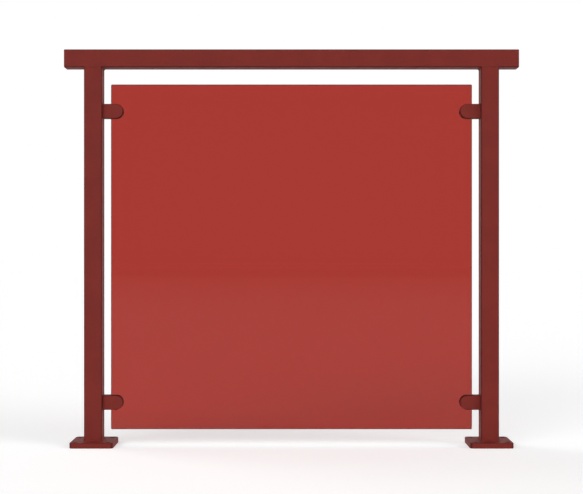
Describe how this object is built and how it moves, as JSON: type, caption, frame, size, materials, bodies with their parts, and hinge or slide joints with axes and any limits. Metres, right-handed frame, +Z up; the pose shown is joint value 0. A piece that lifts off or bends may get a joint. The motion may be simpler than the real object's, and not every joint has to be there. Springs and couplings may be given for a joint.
{
  "type": "glass balustrade panel",
  "caption": "Guard panel of square-tube posts and handrail on floor plates, with a tinted glass pane held clear of the posts by D-shaped clamps.",
  "frame": {"origin": "on the floor under the middle of the panel, midway between the posts and in the plane of the glass", "axes": "+X along the handrail, +Z up, -Y towards the plain side of the clamps, which the picture shows"},
  "size_m": [1.26, 0.12, 1.1],
  "materials": {
    "frame_coat": "matt dark red powder coat on steel tube and plate",
    "clamp_coat": "matt dark red powder coat on cast clamps",
    "tinted_glass": "glossy, tinted red through its thickness, with ground edges",
    "gasket_rubber": "matt black moulded rubber",
    "zinc_steel": "zinc-plated steel"
  },
  "bodies": {
    "root": {"handrail": "frame_coat", "glass_panel": "tinted_glass", "left_post": "frame_coat", "left_rail_end_plate": "frame_coat", "left_base_plate": "frame_coat", "left_base_weld": "frame_coat", "left_rail_weld": "frame_coat", "left_lower_clamp_body": "clamp_coat", "left_lower_clamp_cover": "clamp_coat", "left_lower_front_gasket": "gasket_rubber", "left_lower_rear_gasket": "gasket_rubber", "left_lower_cover_screws": "zinc_steel", "left_lower_post_bolt": "zinc_steel", "left_lower_rivet_nut": "zinc_steel", "left_upper_clamp_body": "clamp_coat", "left_upper_clamp_cover": "clamp_coat", "left_upper_front_gasket": "gasket_rubber", "left_upper_rear_gasket": "gasket_rubber", "left_upper_cover_screws": "zinc_steel", "left_upper_post_bolt": "zinc_steel", "left_upper_rivet_nut": "zinc_steel", "right_post": "frame_coat", "right_rail_end_plate": "frame_coat", "right_base_plate": "frame_coat", "right_base_weld": "frame_coat", "right_rail_weld": "frame_coat", "right_lower_clamp_body": "clamp_coat", "right_lower_clamp_cover": "clamp_coat", "right_lower_front_gasket": "gasket_rubber", "right_lower_rear_gasket": "gasket_rubber", "right_lower_cover_screws": "zinc_steel", "right_lower_post_bolt": "zinc_steel", "right_lower_rivet_nut": "zinc_steel", "right_upper_clamp_body": "clamp_coat", "right_upper_clamp_cover": "clamp_coat", "right_upper_front_gasket": "gasket_rubber", "right_upper_rear_gasket": "gasket_rubber", "right_upper_cover_screws": "zinc_steel", "right_upper_post_bolt": "zinc_steel", "right_upper_rivet_nut": "zinc_steel"}
  },
  "joints": []
}
